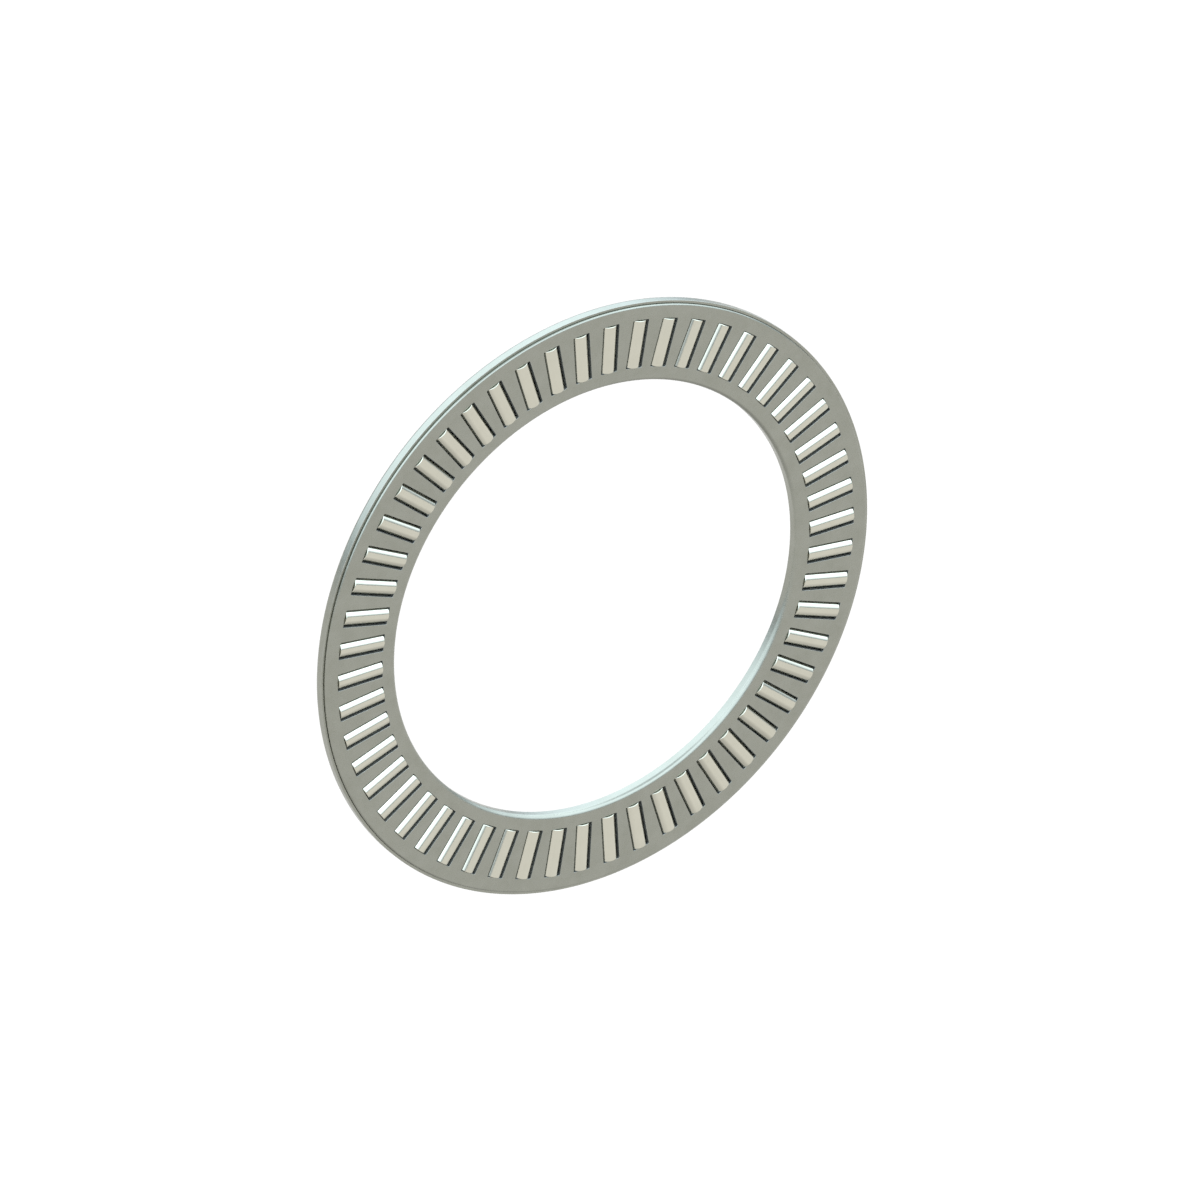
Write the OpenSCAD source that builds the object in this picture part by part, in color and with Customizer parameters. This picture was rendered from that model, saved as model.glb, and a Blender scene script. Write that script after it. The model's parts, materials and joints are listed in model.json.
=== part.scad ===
// Needle roller and cage thrust assembly, one row of 54 rollers.
// The ring stands upright: its axis is Y, its front face looks along -Y, and the origin is the
// middle of its thickness on the axis. Roller 1 points along +X and the numbers run towards +Z.

/* [Cage ring] */
// Bore diameter of the cage, which runs round a 50.8 mm shaft
bore_d = 51; // [50.9:0.02:51.1]
// Outer diameter of the cage
outer_d = 69.6; // [69.4:0.02:69.8]
// Thickness of the cage, from its front face to its rear face
cage_t = 1.52; // [1.5:0.01:1.54]
// Thickness of the steel sheet that both shells are pressed from
sheet_t = 0.32; // [0.3:0.01:0.33]
// Outside radius of the full bends, at the bore's front edge and at the rim's rear edge
bend_r = 0.52; // [0.5:0.01:0.54]
// Outside radius of the sharp bends, where one shell nests in the other
nest_bend_r = 0.2; // [0.15:0.01:0.25]
// How far the edge of a full flange stops short of the other shell's face
lip_step = 0.3; // [0.28:0.01:0.34]
// Rounding on the edge of a full flange
lip_round = 0.12; // [0.05:0.01:0.15]
// Distance from the middle plane to the end of a nested flange, measured past the middle
nest_reach = 0.12; // [0:0.01:0.15]

/* [Rollers] */
// Diameter of a needle roller, which is also the height between the two raceways
roller_d = 1.984; // [1.98:0.001:1.99]
// Length of a needle roller
roller_l = 5.5; // [5.4:0.01:5.55]
// Radius from the ring's axis to the middle of a roller
roller_pitch_r = 30.02; // [29.98:0.01:30.06]
// Rounding on the edges of a roller's flat ends
roller_round = 0.08; // [0.04:0.01:0.12]

/* [Pockets] */
// Radial length of a pocket
pocket_l = 5.66; // [5.62:0.01:5.7]
// Width of a pocket at the outer face of the sheet
pocket_w = 2.03; // [2.02:0.01:2.05]
// Width of a pocket at the inner face of the sheet, narrower than a roller so that it is trapped
throat_w = 1.87; // [1.86:0.01:1.9]

/* [Hidden] */
roller_count = 54;
pitch_angle = 360 / roller_count;
bore_r = bore_d / 2;
outer_r = outer_d / 2;
half_t = cage_t / 2;
nest_in_r = bore_r + sheet_t;    // where the two bore flanges meet
nest_out_r = outer_r - sheet_t;  // where the two rim flanges meet
cut_extra = 0.04;                // how far a pocket cutter runs past the sheet
$fn = 96;

function roller_name(i) = str("roller_", i < 9 ? "0" : "", i + 1);

// Turns the working frame, with the ring's axis along Z, so that its front face looks along -Y
module upright() {
    rotate([90, 0, 0]) children();
}

// Section of a rectangle, given by its lowest and highest radius and height
module plate_section(r0, z0, r1, z1) {
    translate([r0, z0]) square([r1 - r0, z1 - z0]);
}

// Section of a 90 degree bend in sheet, in the corner that points to sr and sz, which are 1 or -1
module bend_section(centre_r, centre_z, sr, sz) {
    intersection() {
        translate([centre_r, centre_z]) difference() {
            circle(r = bend_r);
            circle(r = bend_r - sheet_t);
        }
        plate_section(
            min(centre_r, centre_r + sr * bend_r), min(centre_z, centre_z + sz * bend_r),
            max(centre_r, centre_r + sr * bend_r), max(centre_z, centre_z + sz * bend_r));
    }
}

// Section of a rectangle with one corner rounded, the corner that points to sr and sz
module eased_section(r0, z0, r1, z1, sr, sz, radius) {
    corner_r = sr > 0 ? r1 : r0;
    corner_z = sz > 0 ? z1 : z0;
    centre_r = corner_r - sr * radius;
    centre_z = corner_z - sz * radius;
    difference() {
        plate_section(r0, z0, r1, z1);
        plate_section(min(corner_r, centre_r), min(corner_z, centre_z),
            max(corner_r, centre_r), max(corner_z, centre_z));
    }
    intersection() {
        translate([centre_r, centre_z]) circle(r = radius);
        plate_section(r0, z0, r1, z1);
    }
}

// Front shell: face plate, full flange down the bore, and short flange nested inside the rim
module front_section() {
    plate_section(bore_r + bend_r, half_t - sheet_t, nest_out_r - sheet_t, half_t);
    bend_section(bore_r + bend_r, half_t - bend_r, -1, 1);
    eased_section(bore_r, lip_step - half_t, nest_in_r, half_t - bend_r, -1, -1, lip_round);
    eased_section(nest_out_r - sheet_t, -nest_reach, nest_out_r, half_t, 1, 1, nest_bend_r);
}

// Back shell: back plate, full flange up the rim, and short flange nested behind the bore flange
module back_section() {
    plate_section(nest_in_r + sheet_t, -half_t, outer_r - bend_r, sheet_t - half_t);
    bend_section(outer_r - bend_r, bend_r - half_t, 1, -1);
    eased_section(nest_out_r, bend_r - half_t, outer_r, half_t - lip_step, 1, 1, lip_round);
    eased_section(nest_in_r, -half_t, nest_in_r + sheet_t, nest_reach, -1, -1, nest_bend_r);
}

// One pocket through a face plate, wide at the outer face and narrow at the inner face
module pocket(side) {
    taper = (pocket_w - throat_w) / 2 / sheet_t;
    inner_z = half_t - sheet_t - cut_extra;
    outer_z = half_t + cut_extra;
    inner_w = throat_w / 2 - taper * cut_extra;
    outer_w = pocket_w / 2 + taper * cut_extra;
    translate([roller_pitch_r - pocket_l / 2, 0, 0])
        rotate([90, 0, 90])
            linear_extrude(height = pocket_l)
                polygon([
                    [-inner_w, side * inner_z], [inner_w, side * inner_z],
                    [outer_w, side * outer_z], [-outer_w, side * outer_z]]);
}

// The row of pockets through the front plate, with side 1, or the rear plate, with side -1
module pocket_row(side) {
    for (i = [0 : roller_count - 1])
        rotate([0, 0, i * pitch_angle]) pocket(side);
}

module front_shell() {
    color([0.60, 0.61, 0.57]) upright() difference() {
        rotate_extrude() front_section();
        pocket_row(1);
    }
}

module back_shell() {
    color([0.57, 0.58, 0.55]) upright() difference() {
        rotate_extrude() back_section();
        pocket_row(-1);
    }
}

// Half outline of a needle roller: flat ends with rounded edges, standing on its own axis
module roller_section() {
    half_l = roller_l / 2;
    r = roller_d / 2;
    plate_section(0, -half_l, r - roller_round, half_l);
    plate_section(0, roller_round - half_l, r, half_l - roller_round);
    for (s = [-1, 1])
        intersection() {
            translate([r - roller_round, s * (half_l - roller_round)]) circle(r = roller_round);
            plate_section(0, -half_l, r, half_l);
        }
}

// Needle roller i, lying along its own radius of the ring
module roller(i) {
    color([0.79, 0.78, 0.72]) upright()
        rotate([0, 0, i * pitch_angle])
            translate([roller_pitch_r, 0, 0])
                rotate([0, 90, 0])
                    rotate_extrude() roller_section();
}

front_shell();
back_shell();
for (i = [0 : roller_count - 1])
    roller(i);
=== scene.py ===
"""Looks for the needle roller and cage thrust assembly: two pressed steel shells and 54 ground rollers."""

import json
import math
import random

import bpy
import numpy as np
from mathutils import Matrix, Vector


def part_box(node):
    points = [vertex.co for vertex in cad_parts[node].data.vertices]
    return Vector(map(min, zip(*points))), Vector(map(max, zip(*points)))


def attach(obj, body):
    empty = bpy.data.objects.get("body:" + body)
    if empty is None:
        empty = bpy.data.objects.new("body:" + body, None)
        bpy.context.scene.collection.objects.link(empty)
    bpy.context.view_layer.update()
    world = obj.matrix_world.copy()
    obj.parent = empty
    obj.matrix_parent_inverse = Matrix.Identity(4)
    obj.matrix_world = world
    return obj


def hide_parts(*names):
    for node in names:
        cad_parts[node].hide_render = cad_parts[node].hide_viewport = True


MM = 0.001  # sizes below are in millimetres, and Blender works in metres

# Sheet and pockets, in millimetres
FULL_BEND_R = 0.52  # outside radius of the full bends
NEST_BEND_R = 0.2  # outside radius where a short flange turns down
NEST_REACH = 0.12  # how far a nested flange runs past the middle plane
LIP_ROUND = 0.04  # outer corner on the edge of a full flange
SHEARED_ROUND = 0.05  # every other edge and inside corner of the sheet
SEAM_GAP = 0.006  # air between the two nested flanges
RIM_EASE = 0.008  # how far the round rim stays inside the radius of the frame
POCKET_LENGTH = 5.66
POCKET_WIDTH = 2.03  # at the outer face
THROAT_WIDTH = 1.87  # at the inner face
POCKET_CORNER_R = 0.12  # in the plane of the sheet
POCKET_EDGE_R = 0.03  # rolled edge that the punch leaves on the outer face
POCKET_BURR_R = 0.02  # edge on the inner face

# Rollers, in millimetres
ROLLER_EDGE_R = 0.08
ROLLER_REACH = 0.04  # how much further each flat end comes towards the end of its pocket

# How finely the meshes are cut
STEPS_PER_PITCH = 8  # around the ring, for each roller; even, so that a pocket lies in the middle
SIDE_STEPS = 10  # along the long side of a pocket
ARC_STEPS = 6  # round each bend and corner
ROLLER_SIDES = 72
ROLLER_BANDS = 12

# View: the ring seen from above and from its left, through a lens long enough to be almost parallel
VIEW_AZIMUTH = math.radians(-33.32)
VIEW_ELEVATION = math.radians(29.84)
VIEW_WIDTH = 0.12777  # metres across the picture, at the ring
VIEW_OFFSET = (0.000780, -0.000421)  # metres that the aim lies right of and above the ring's centre
LENS = 1600.0  # longer than this and the camera of the other views stands beyond its own far limit
SENSOR = 36.0

FLOOR_DROP = 0.2  # metres from the ring's centre down to the floor
FLOOR_SIZE = 16.0
SHADE_INNER = 0.03  # metres from the ring's axis to where the floor's painted soft shadow starts to fade
SHADE_OUTER = 0.24  # metres to where it has gone
SHADE_DEPTH = 0.36  # how much darker the painted shadow makes the floor right under the ring
FLOOR_LEVELS = (0.412, 0.422)  # how pale the floor is, darkest and palest
SKY_STRENGTH = 3.0
SKY_TINT = (0.86, 1.0, 1.13)  # a little blue, which the floor's paint makes up for
BELOW_HORIZON = 1.06  # light from under the horizon, as pale as the floor in front of it
FLOOR_EDGE = -2.2  # degrees of elevation at which that light ends
SKY_LEVELS = (  # (degrees of elevation, light)
    (-1.5, 0.5),
    (3, 0.55),
    (7, 1.35),
    (12, 2.0),
    (20, 2.4),
    (31, 2.75),
    (43, 2.95),
    (58, 2.95),
    (72, 1.6),
)

# Colours of the metals, as reflectance
CAGE_DARK = (0.286, 0.291, 0.246)
CAGE_PALE = (0.322, 0.327, 0.281)
CAGE_PATCH = (0.333, 0.338, 0.298)
CAGE_WORN = (0.46, 0.465, 0.43)
# painted shade: a darker, bluish colour for the pocket walls, matched to the shaded gaps beside the rollers
CAGE_SHEARED_SHADE = (0.250, 0.262, 0.258)
ROLLER_DARK = (0.556, 0.542, 0.452)
ROLLER_PALE = (0.584, 0.570, 0.478)
ROLLER_BAND = (0.590, 0.577, 0.490)


# ---------------------------------------------------------------- outlines


def left_of(d):
    return np.array([-d[1], d[0]])


def right_of(d):
    return np.array([d[1], -d[0]])


def rounded_outline(corners):
    """Points, outward normals and an edge mask of a closed outline that runs anticlockwise through
    square corners, each given as (r, z, rounding). The mask is 1 in the middle of a sharp outer corner."""
    points, normals, edge = [], [], []
    places = [np.array(c[:2], float) for c in corners]
    for i, (r, z, radius) in enumerate(corners):
        here = places[i]
        into = here - places[i - 1]
        out = places[(i + 1) % len(places)] - here
        into /= np.linalg.norm(into)
        out /= np.linalg.norm(out)
        convex = 1.0 if np.dot(left_of(into), out) > 0 else -1.0
        centre = here - into * radius + left_of(into) * radius * convex
        for k in range(ARC_STEPS + 1):
            a = math.pi / 2 * k / ARC_STEPS
            normal = right_of(into) * math.cos(a) + right_of(out) * math.sin(a)
            points.append(centre + normal * radius * convex)
            normals.append(normal)
            edge.append(math.sin(2 * a) if convex > 0 and radius < NEST_BEND_R else 0.0)
    return np.array(points), np.array(normals), edge


def shell_corners(inner_r, outer_r, half_t, sheet, inner_end, outer_end, inner_bend, outer_bend):
    """The eight corners of one shell's section: a plate at the top with a flange down at each side.
    inner_end and outer_end are the heights at which the flanges stop."""
    under = half_t - sheet
    inner_full = inner_bend > sheet
    outer_full = outer_bend > sheet
    return [
        (inner_r, half_t, inner_bend),
        (inner_r, inner_end, LIP_ROUND if inner_full else SHEARED_ROUND),
        (inner_r + sheet, inner_end, SHEARED_ROUND),
        (inner_r + sheet, under, inner_bend - sheet if inner_full else SHEARED_ROUND),
        (outer_r - sheet, under, outer_bend - sheet if outer_full else SHEARED_ROUND),
        (outer_r - sheet, outer_end, SHEARED_ROUND),
        (outer_r, outer_end, LIP_ROUND if outer_full else SHEARED_ROUND),
        (outer_r, half_t, outer_bend),
    ]


def pocket_rim():
    """The rim of a pocket as (base x, base y, direction x, direction y, corner) in order: a rim point at
    some offset is its base plus its direction times the corner radius and the offset. corner counts the
    corners passed, so that the points of one corner share a point of the plate around them."""
    a = POCKET_LENGTH / 2 - POCKET_CORNER_R
    b = -1.0  # the width is scaled by level, so that here it is a unit
    rim = []
    sides = [
        ((-a, b), (-a, -b), (-1, 0), STEPS_PER_PITCH),
        ((-a, -b), (a, -b), (0, 1), SIDE_STEPS),
        ((a, -b), (a, b), (1, 0), STEPS_PER_PITCH),
        ((a, b), (-a, b), (0, -1), SIDE_STEPS),
    ]
    place = 0
    for s, (start, end, direction, steps) in enumerate(sides):
        turn_to = sides[(s + 1) % 4][2]
        for k in range(steps + 1):
            t = k / steps
            base = (start[0] + (end[0] - start[0]) * t, start[1] + (end[1] - start[1]) * t)
            rim.append((*base, *direction, place + k))
        place += steps
        for k in range(1, ARC_STEPS):
            turn = math.pi / 2 * k / ARC_STEPS
            way = [direction[c] * math.cos(turn) + turn_to[c] * math.sin(turn) for c in (0, 1)]
            rim.append((*end, *way, place))
    return rim, place


def pocket_levels(half_t, sheet):
    """The levels of a pocket's wall, from the outer face down: (height, offset, half width, slope of the
    normal towards +z, edge mask, mask of the sheared wall's roughness and painted shade)."""
    under = half_t - sheet
    levels = []
    # the last value of each level is its share of painted shade and sheared roughness, rising over the
    # rolled edge
    for k in range(ARC_STEPS + 1):
        a = math.pi / 2 * k / ARC_STEPS
        levels.append((half_t - POCKET_EDGE_R * (1 - math.cos(a)), POCKET_EDGE_R * (1 - math.sin(a)),
                       math.cos(a), math.sin(2 * a), k / ARC_STEPS))
    for k in range(ARC_STEPS + 1):
        a = math.pi / 2 * k / ARC_STEPS
        levels.append((under + POCKET_BURR_R * (1 - math.sin(a)), POCKET_BURR_R * (1 - math.cos(a)),
                       -math.sin(a), 0.0, 1.0))
    out = []
    for z, offset, slope, mask, recess in levels:
        share = (half_t - z) / sheet
        half_w = (POCKET_WIDTH + (THROAT_WIDTH - POCKET_WIDTH) * share) / 2
        out.append((z, offset, half_w, slope, mask, recess))
    return out


# ---------------------------------------------------------------- meshes


class MeshParts:
    """Vertices with their normals and masks, and faces, collected before a mesh is made of them. edge is 1
    on a sharp outer edge, and the other mask is 1 on the pocket's sheared wall, which is rougher and
    carries painted shade."""

    def __init__(self):
        self.points = []
        self.normals = []
        self.edges = []
        self.shear_and_shade_masks = []
        self.faces = []

    def add(self, point, normal, edge=0.0, recess=0.0):
        self.points.append(point)
        self.normals.append(normal)
        self.edges.append(edge)
        self.shear_and_shade_masks.append(recess)
        return len(self.points) - 1

    def face(self, *corners):
        seen = list(dict.fromkeys(corners))
        if len(seen) > 2:
            self.faces.append(seen)

    def object(self, name, transform, mirrored=False, seed=None):
        """A Blender object of the parts, moved by a 3x3 transform."""
        points = np.array(self.points, float) @ transform.T * MM
        normals = np.array(self.normals, float) @ transform.T
        normals /= np.linalg.norm(normals, axis=1, keepdims=True)
        faces = [f[::-1] for f in self.faces] if mirrored else self.faces
        mesh = bpy.data.meshes.new(name)
        mesh.from_pydata(points.tolist(), [], faces)
        mesh.validate()
        mesh.shade_smooth()
        mesh.normals_split_custom_set_from_vertices(normals.tolist())
        masks = {"edge_wear": self.edges, "recess": self.shear_and_shade_masks}
        if seed is not None:
            masks["own_seed"] = [seed] * len(points)
        for key, values in masks.items():
            attribute = mesh.attributes.new(key, "FLOAT", "POINT")
            attribute.data.foreach_set("value", np.array(values, np.float32))
        obj = bpy.data.objects.new(name, mesh)
        bpy.context.scene.collection.objects.link(obj)
        return obj


def pressed_shell(corners, half_t, sheet, rollers, pitch_r):
    """One shell: its section swept round the ring, with a plate that has a pocket for each roller."""
    parts = MeshParts()
    points, normals, edge = rounded_outline(corners)
    count = len(points)
    around = rollers * STEPS_PER_PITCH
    pitch = 2 * math.pi / rollers
    angles = [(j / STEPS_PER_PITCH - 0.5) * pitch for j in range(around)]
    per_corner = ARC_STEPS + 1
    top_in, top_out = 0, count - 1
    under_in, under_out = 4 * per_corner - 1, 4 * per_corner
    ring = []
    for (r, z), (nr, nz), mask in zip(points, normals, edge):
        ring.append([parts.add((r * math.cos(t), r * math.sin(t), z),
                               (nr * math.cos(t), nr * math.sin(t), nz), mask) for t in angles])
    for i in range(count):
        n = (i + 1) % count
        if i in (top_out, under_in):
            continue
        for j in range(around):
            k = (j + 1) % around
            parts.face(ring[i][j], ring[i][k], ring[n][k], ring[n][j])

    def side_lines(inner, outer, up):
        """Points between two rings along the line halfway between each two pockets."""
        r0, z = points[inner]
        r1 = points[outer][0]
        lines = []
        for k in range(rollers):
            t = angles[k * STEPS_PER_PITCH]
            radii = [r0 + (r1 - r0) * i / SIDE_STEPS for i in range(1, SIDE_STEPS)]
            lines.append([parts.add((r * math.cos(t), r * math.sin(t), z), (0, 0, up)) for r in radii])
        return lines

    rim, places = pocket_rim()
    levels = pocket_levels(half_t, sheet)
    top_lines = side_lines(top_in, top_out, 1)
    under_lines = side_lines(under_in, under_out, -1)

    def sector_edge(k, inner, outer, lines):
        """The edge of pocket k's piece of plate, in the order of the pocket's rim."""
        first = k * STEPS_PER_PITCH
        across = [(first + s) % around for s in range(STEPS_PER_PITCH + 1)]
        after = (k + 1) % rollers
        near = [ring[inner][j] for j in across]
        far = [ring[outer][j] for j in across]
        return near + lines[after] + far[::-1] + lines[k][::-1]

    for k in range(rollers):
        turn = k * pitch
        c, s = math.cos(turn), math.sin(turn)
        loops = []
        for z, offset, half_w, slope, mask, recess in levels:
            reach = POCKET_CORNER_R + offset
            flat = math.sqrt(max(0.0, 1 - slope * slope))
            loop = []
            for bx, by, dx, dy, _ in rim:
                x = pitch_r + bx + dx * reach
                y = by * (half_w - POCKET_CORNER_R) + dy * reach
                nx, ny = -dx * flat, -dy * flat
                loop.append(parts.add((x * c - y * s, x * s + y * c, z),
                                      (nx * c - ny * s, nx * s + ny * c, slope), mask, recess))
            loops.append(loop)
        size = len(rim)
        for upper, lower in zip(loops, loops[1:]):
            for i in range(size):
                n = (i + 1) % size
                parts.face(upper[i], lower[i], lower[n], upper[n])
        top = sector_edge(k, top_in, top_out, top_lines)
        under = sector_edge(k, under_in, under_out, under_lines)
        for i in range(size):
            n = (i + 1) % size
            here, after = rim[i][4] % places, rim[n][4] % places
            parts.face(top[here], loops[0][i], loops[0][n], top[after])
            parts.face(under[here], under[after], loops[-1][n], loops[-1][i])
    return parts


def roller_parts(radius, length):
    """A needle roller along X about the origin: flat ends, rounded edges, and a ground cylinder."""
    parts = MeshParts()
    half = length / 2
    section = [(-half, 0.0, -1.0, 0.0, 0.0), (-half, radius * 0.5, -1.0, 0.0, 0.0)]
    for k in range(ARC_STEPS + 1):
        a = math.pi / 2 * k / ARC_STEPS
        section.append((-half + ROLLER_EDGE_R * (1 - math.cos(a)),
                        radius - ROLLER_EDGE_R * (1 - math.sin(a)),
                        -math.cos(a), math.sin(a), math.sin(2 * a)))
    for k in range(1, ROLLER_BANDS):
        x = (-half + ROLLER_EDGE_R) + (length - 2 * ROLLER_EDGE_R) * k / ROLLER_BANDS
        section.append((x, radius, 0.0, 1.0, 0.0))
    for x, r, nx, nr, mask in section[ARC_STEPS + 2::-1]:
        section.append((-x, r, -nx, nr, mask))
    rings = []
    for x, r, nx, nr, mask in section:
        if r == 0:
            rings.append([parts.add((x, 0, 0), (nx, 0, 0))] * ROLLER_SIDES)
            continue
        turns = [2 * math.pi * j / ROLLER_SIDES for j in range(ROLLER_SIDES)]
        rings.append([parts.add((x, r * math.cos(t), r * math.sin(t)),
                                (nx, nr * math.cos(t), nr * math.sin(t)), mask) for t in turns])
    for a, b in zip(rings, rings[1:]):
        for j in range(ROLLER_SIDES):
            k = (j + 1) % ROLLER_SIDES
            parts.face(a[j], a[k], b[k], b[j])
    return parts


# ---------------------------------------------------------------- materials


class Shader:
    """A small helper to wire a material's nodes."""

    def __init__(self, name):
        self.material = bpy.data.materials.new(name)
        self.material.use_nodes = True
        self.tree = self.material.node_tree
        self.surface = self.tree.nodes["Principled BSDF"]

    def node(self, kind, **settings):
        made = self.tree.nodes.new(kind)
        for key, value in settings.items():
            setattr(made, key, value)
        return made

    def link(self, source, target):
        self.tree.links.new(source, target)

    def coordinates(self, stretch):
        """Object coordinates in metres, multiplied by stretch along each axis."""
        place = self.node("ShaderNodeTexCoord")
        mapping = self.node("ShaderNodeMapping")
        mapping.inputs["Scale"].default_value = stretch
        self.link(place.outputs["Object"], mapping.inputs["Vector"])
        return mapping.outputs["Vector"]

    def noise(self, vector, scale=1.0, detail=3.0, roughness=0.5, seed=None):
        made = self.node("ShaderNodeTexNoise")
        made.inputs["Scale"].default_value = scale
        made.inputs["Detail"].default_value = detail
        made.inputs["Roughness"].default_value = roughness
        self.link(vector, made.inputs["Vector"])
        if seed is not None:
            made.noise_dimensions = "4D"
            self.link(seed, made.inputs["W"])
        return made.outputs["Fac"]

    def ramp(self, value, low, high):
        """Value 0.3 to 0.7, where noise spends its time, spread from low to high."""
        made = self.node("ShaderNodeMapRange")
        for key, number in (("From Min", 0.3), ("From Max", 0.7), ("To Min", low), ("To Max", high)):
            made.inputs[key].default_value = number
        self.link(value, made.inputs["Value"])
        return made.outputs["Result"]

    def mix(self, share, first, second):
        """A colour between two, each given as a colour or a socket."""
        made = self.node("ShaderNodeMix", data_type="RGBA")
        self.link(share, made.inputs["Factor"])
        for slot, colour in ((6, first), (7, second)):
            if isinstance(colour, bpy.types.NodeSocket):
                self.link(colour, made.inputs[slot])
            else:
                made.inputs[slot].default_value = (*colour, 1)
        return made.outputs[2]

    def math(self, operation, first, second):
        made = self.node("ShaderNodeMath", operation=operation)
        for slot, value in enumerate((first, second)):
            if isinstance(value, bpy.types.NodeSocket):
                self.link(value, made.inputs[slot])
            else:
                made.inputs[slot].default_value = value
        return made.outputs[0]

    def attribute(self, name):
        return self.node("ShaderNodeAttribute", attribute_name=name).outputs["Fac"]

    def bump(self, height, distance, normal=None):
        made = self.node("ShaderNodeBump")
        made.inputs["Distance"].default_value = distance
        self.link(height, made.inputs["Height"])
        if normal is not None:
            self.link(normal, made.inputs["Normal"])
        return made.outputs["Normal"]


def cage_steel():
    """Hardened and tumbled sheet: matt grey, faintly mottled, brighter where tumbling has rubbed edges; the
    sheared pocket walls are rougher and carry painted shade.
    """
    s = Shader("cage_steel")
    mottle = s.noise(s.coordinates((420, 420, 420)), detail=5, roughness=0.6)
    patch = s.noise(s.coordinates((1500, 1500, 1500)), detail=3, roughness=0.55)
    grain = s.noise(s.coordinates((9000, 9000, 9000)), detail=2)
    rolling = s.noise(s.coordinates((350, 350, 11000)), detail=2)
    base = s.mix(s.ramp(mottle, 0, 1), CAGE_DARK, CAGE_PALE)
    base = s.mix(s.ramp(patch, 0, 0.35), base, CAGE_PATCH)
    worn = s.math("MULTIPLY", s.attribute("edge_wear"), s.ramp(patch, 0.25, 0.75))
    base = s.mix(worn, base, CAGE_WORN)
    # painted shade: the pocket walls are painted darker and bluish; their added roughness is the sheared
    # steel's own dullness
    recess = s.attribute("recess")
    s.link(s.mix(recess, base, CAGE_SHEARED_SHADE), s.surface.inputs["Base Color"])
    s.surface.inputs["Metallic"].default_value = 1.0
    unevenness = s.math("ADD", s.math("MULTIPLY", patch, 0.6), s.math("MULTIPLY", grain, 0.4))
    matt = s.ramp(unevenness, 0.23, 0.32)
    s.link(s.math("ADD", matt, s.math("MULTIPLY", recess, 0.25)), s.surface.inputs["Roughness"])
    normal = s.bump(rolling, 0.0000012)
    s.link(s.bump(grain, 0.0000022, normal), s.surface.inputs["Normal"])
    return s.material


def roller_steel():
    """Ground bearing steel: fine marks run round the roller, and each roller has a shade of its own."""
    s = Shader("roller_steel")
    seed = s.attribute("own_seed")
    marks = s.noise(s.coordinates((16000, 260, 260)), detail=3, roughness=0.6, seed=seed)
    bands = s.noise(s.coordinates((1300, 60, 60)), detail=2, seed=seed)
    film = s.noise(s.coordinates((700, 700, 700)), detail=4, roughness=0.6, seed=seed)
    base = s.mix(s.ramp(film, 0, 1), ROLLER_DARK, ROLLER_PALE)
    base = s.mix(s.ramp(bands, 0, 0.3), base, ROLLER_BAND)
    s.link(base, s.surface.inputs["Base Color"])
    s.surface.inputs["Metallic"].default_value = 1.0
    s.link(s.ramp(s.math("ADD", s.math("MULTIPLY", marks, 0.5), s.math("MULTIPLY", film, 0.5)), 0.10, 0.17),
           s.surface.inputs["Roughness"])
    s.link(s.bump(marks, 0.0000006), s.surface.inputs["Normal"])
    return s.material


def floor_paint():
    """Plain pale studio floor: neutral under the blue of the sky, faintly uneven, and with a soft shadow
    painted right under the ring."""
    s = Shader("studio_floor")
    cloud = s.noise(s.coordinates((3, 3, 3)), detail=2)
    low, high = ([level / tint for tint in SKY_TINT] for level in FLOOR_LEVELS)
    paint = s.mix(s.ramp(cloud, 0, 1), low, high)
    place = s.node("ShaderNodeTexCoord")
    distance = s.node("ShaderNodeVectorMath", operation="LENGTH")
    s.link(place.outputs["Object"], distance.inputs[0])
    # painted shadow: the floor's paint darkens towards black right under the ring
    fade = s.node("ShaderNodeMapRange", interpolation_type="SMOOTHSTEP")
    for key, number in (("From Min", SHADE_INNER), ("From Max", SHADE_OUTER),
                        ("To Min", SHADE_DEPTH), ("To Max", 0.0)):
        fade.inputs[key].default_value = number
    s.link(distance.outputs["Value"], fade.inputs["Value"])
    s.link(s.mix(fade.outputs["Result"], paint, (0, 0, 0)), s.surface.inputs["Base Color"])
    s.surface.inputs["Roughness"].default_value = 0.9
    s.surface.inputs["Specular IOR Level"].default_value = 0.0
    return s.material


# ---------------------------------------------------------------- surroundings


def studio_sky():
    """A soft studio all round: dim at the horizon, brightest halfway up, and dimmer again overhead."""
    world = bpy.data.worlds.new("studio")
    bpy.context.scene.world = world
    world.use_nodes = True
    tree = world.node_tree
    background = tree.nodes["Background"]
    background.inputs["Strength"].default_value = SKY_STRENGTH
    place = tree.nodes.new("ShaderNodeTexCoord")
    split = tree.nodes.new("ShaderNodeSeparateXYZ")
    height = tree.nodes.new("ShaderNodeMapRange")
    height.inputs["From Min"].default_value = -1.0
    ramp = tree.nodes.new("ShaderNodeValToRGB")
    tree.links.new(place.outputs["Generated"], split.inputs[0])
    tree.links.new(split.outputs["Z"], height.inputs["Value"])
    tree.links.new(height.outputs["Result"], ramp.inputs["Fac"])
    tree.links.new(ramp.outputs["Color"], background.inputs["Color"])
    lights = [(FLOOR_EDGE, (BELOW_HORIZON,) * 3)]
    lights += [(elevation, [level * tint for tint in SKY_TINT]) for elevation, level in SKY_LEVELS]
    stops = ramp.color_ramp.elements
    while len(stops) < len(lights):
        stops.new(0.5)
    for stop, (elevation, light) in zip(stops, lights):
        stop.position = (1 + math.sin(math.radians(elevation))) / 2
        stop.color = (*(part / SKY_STRENGTH for part in light), 1)


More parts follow.
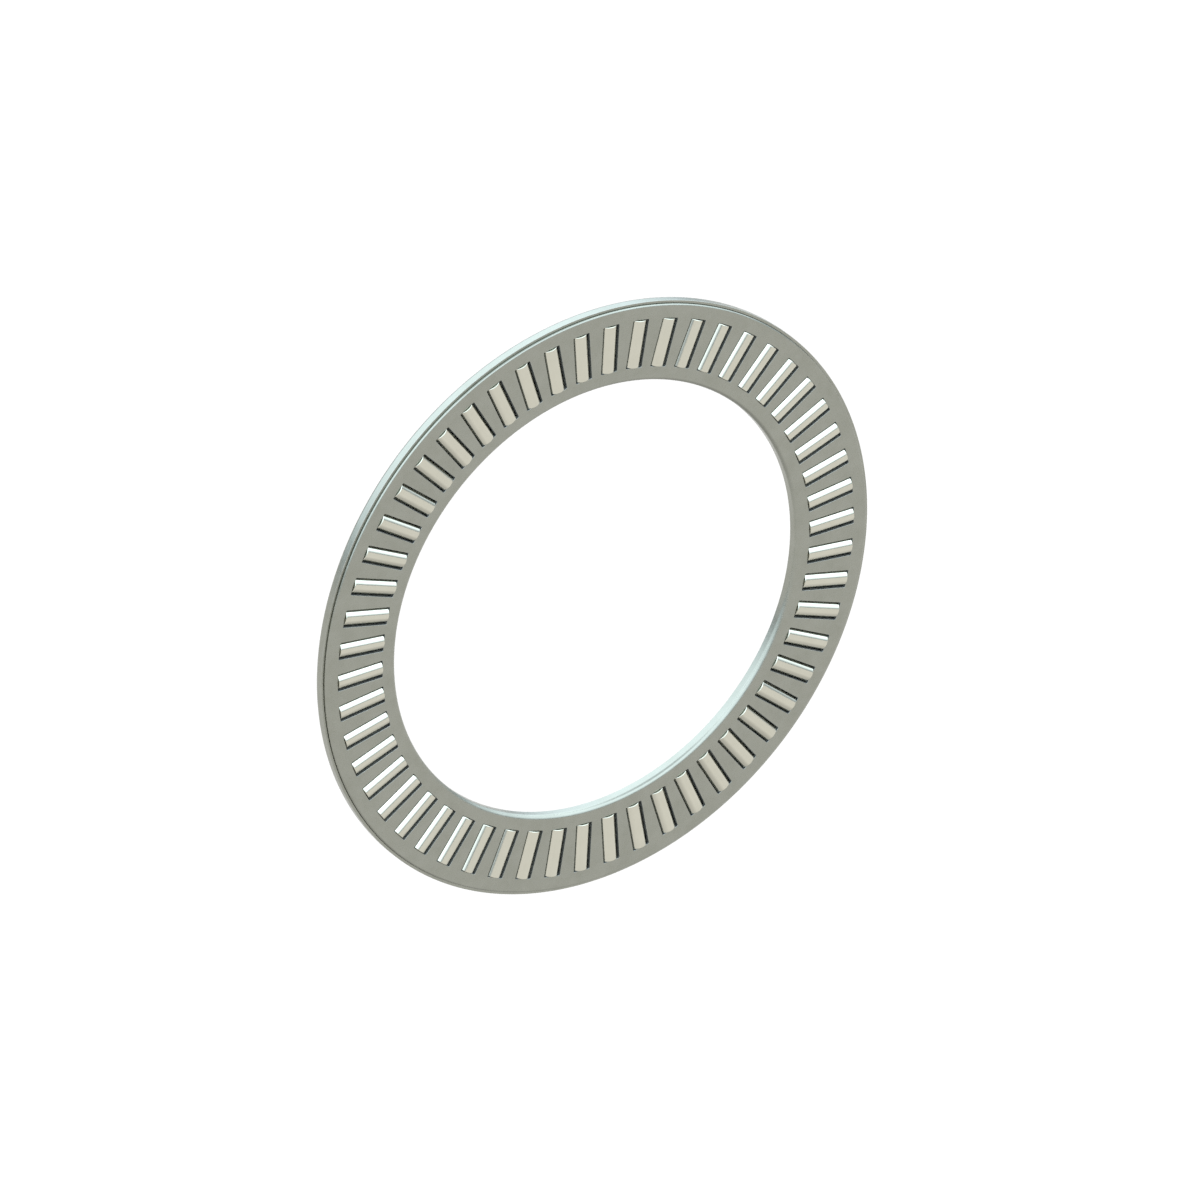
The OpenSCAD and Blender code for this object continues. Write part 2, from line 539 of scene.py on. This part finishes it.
def studio_floor():
    half = FLOOR_SIZE / 2
    mesh = bpy.data.meshes.new("floor")
    corners = [(-half, -half, 0), (half, -half, 0), (half, half, 0), (-half, half, 0)]
    mesh.from_pydata(corners, [], [(0, 1, 2, 3)])
    floor = bpy.data.objects.new("floor", mesh)
    floor.location = (0, 0, -FLOOR_DROP)
    floor.data.materials.append(floor_paint())
    bpy.context.scene.collection.objects.link(floor)


def camera():
    """A long lens that looks down on the ring from its left."""
    sa, ca = math.sin(VIEW_AZIMUTH), math.cos(VIEW_AZIMUTH)
    se, ce = math.sin(VIEW_ELEVATION), math.cos(VIEW_ELEVATION)
    back = Vector((sa * ce, -ca * ce, se))
    right = Vector((ca, sa, 0))
    up = back.cross(right)
    data = bpy.data.cameras.new("camera")
    data.lens = LENS
    data.sensor_width = SENSOR
    data.clip_end = 200
    cam = bpy.data.objects.new("camera", data)
    bpy.context.scene.collection.objects.link(cam)
    distance = VIEW_WIDTH * LENS / SENSOR
    place = back * distance + right * VIEW_OFFSET[0] + up * VIEW_OFFSET[1]
    cam.matrix_world = Matrix.Translation(place) @ Matrix((right, up, back)).transposed().to_4x4()
    bpy.context.scene.camera = cam
    bpy.context.scene.view_settings.view_transform = "Standard"


# ---------------------------------------------------------------- the assembly


def cage_shells(frame, material):
    """Both shells of the cage, worked out from the sizes of the frame."""
    radius = {m["name"]: m["dims"].get("r_mm") for m in frame["record"]["mounts"]}
    bore_r, outer_r = radius["shaft_bore"], radius["housing_od"]
    front_low, front_high = (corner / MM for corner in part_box("front_shell"))
    rear_low, _ = (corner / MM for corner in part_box("back_shell"))
    roller_low, roller_high = (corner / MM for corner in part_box("roller_01"))
    pitch_r = (roller_low.x + roller_high.x) / 2
    half_t = -front_low.y
    nest_out_r = front_high.x
    sheet = outer_r - nest_out_r
    rollers = len(frame["joints"])
    front = shell_corners(
        bore_r, nest_out_r - RIM_EASE - SEAM_GAP, half_t, sheet, -front_high.y, -NEST_REACH,
        FULL_BEND_R, NEST_BEND_R)
    rear = shell_corners(
        bore_r + sheet + SEAM_GAP, outer_r - RIM_EASE, half_t, sheet, -NEST_REACH, rear_low.y,
        NEST_BEND_R, FULL_BEND_R)
    upright = np.array([[1, 0, 0], [0, 0, -1], [0, 1, 0]], float)
    turned = np.array([[1, 0, 0], [0, 0, 1], [0, 1, 0]], float)
    for name, corners, transform, mirrored, node in (
        ("front_cage_shell", front, upright, False, "front_shell"),
        ("back_cage_shell", rear, turned, True, "back_shell"),
    ):
        parts = pressed_shell(corners, half_t, sheet, rollers, pitch_r)
        piece = parts.object(name, transform, mirrored)
        piece.data.materials.append(material)
        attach(piece, "cage")
        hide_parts(node)


def needle_rollers(frame, material):
    """A ground roller for each joint, along its joint's axis."""
    low, high = (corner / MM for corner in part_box("roller_01"))
    parts = roller_parts((high.y - low.y) / 2, high.x - low.x + 2 * ROLLER_REACH)
    chance = random.Random(54)
    for joint in frame["joints"]:
        axis = Vector(joint["axis"])
        front = Vector((0, -1, 0))
        side = axis.cross(front)
        piece = parts.object("needle_" + joint["child"][-2:], np.eye(3), seed=chance.uniform(0, 50))
        turn = Matrix((axis, front, side)).transposed().to_4x4()
        piece.matrix_world = Matrix.Translation(joint["pos_m"]) @ turn
        piece.data.materials.append(material)
        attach(piece, joint["child"])
        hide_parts(joint["child"])


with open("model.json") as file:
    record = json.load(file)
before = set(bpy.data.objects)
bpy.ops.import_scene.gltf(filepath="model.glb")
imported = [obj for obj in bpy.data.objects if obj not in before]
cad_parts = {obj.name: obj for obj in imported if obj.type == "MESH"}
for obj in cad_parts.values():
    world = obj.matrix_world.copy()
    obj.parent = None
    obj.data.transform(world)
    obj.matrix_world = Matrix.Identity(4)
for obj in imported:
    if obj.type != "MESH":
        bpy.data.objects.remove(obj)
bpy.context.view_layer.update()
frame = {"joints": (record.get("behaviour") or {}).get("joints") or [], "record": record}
cage_shells(frame, cage_steel())
needle_rollers(frame, roller_steel())
studio_sky()
studio_floor()
camera()
bpy.context.view_layer.update()
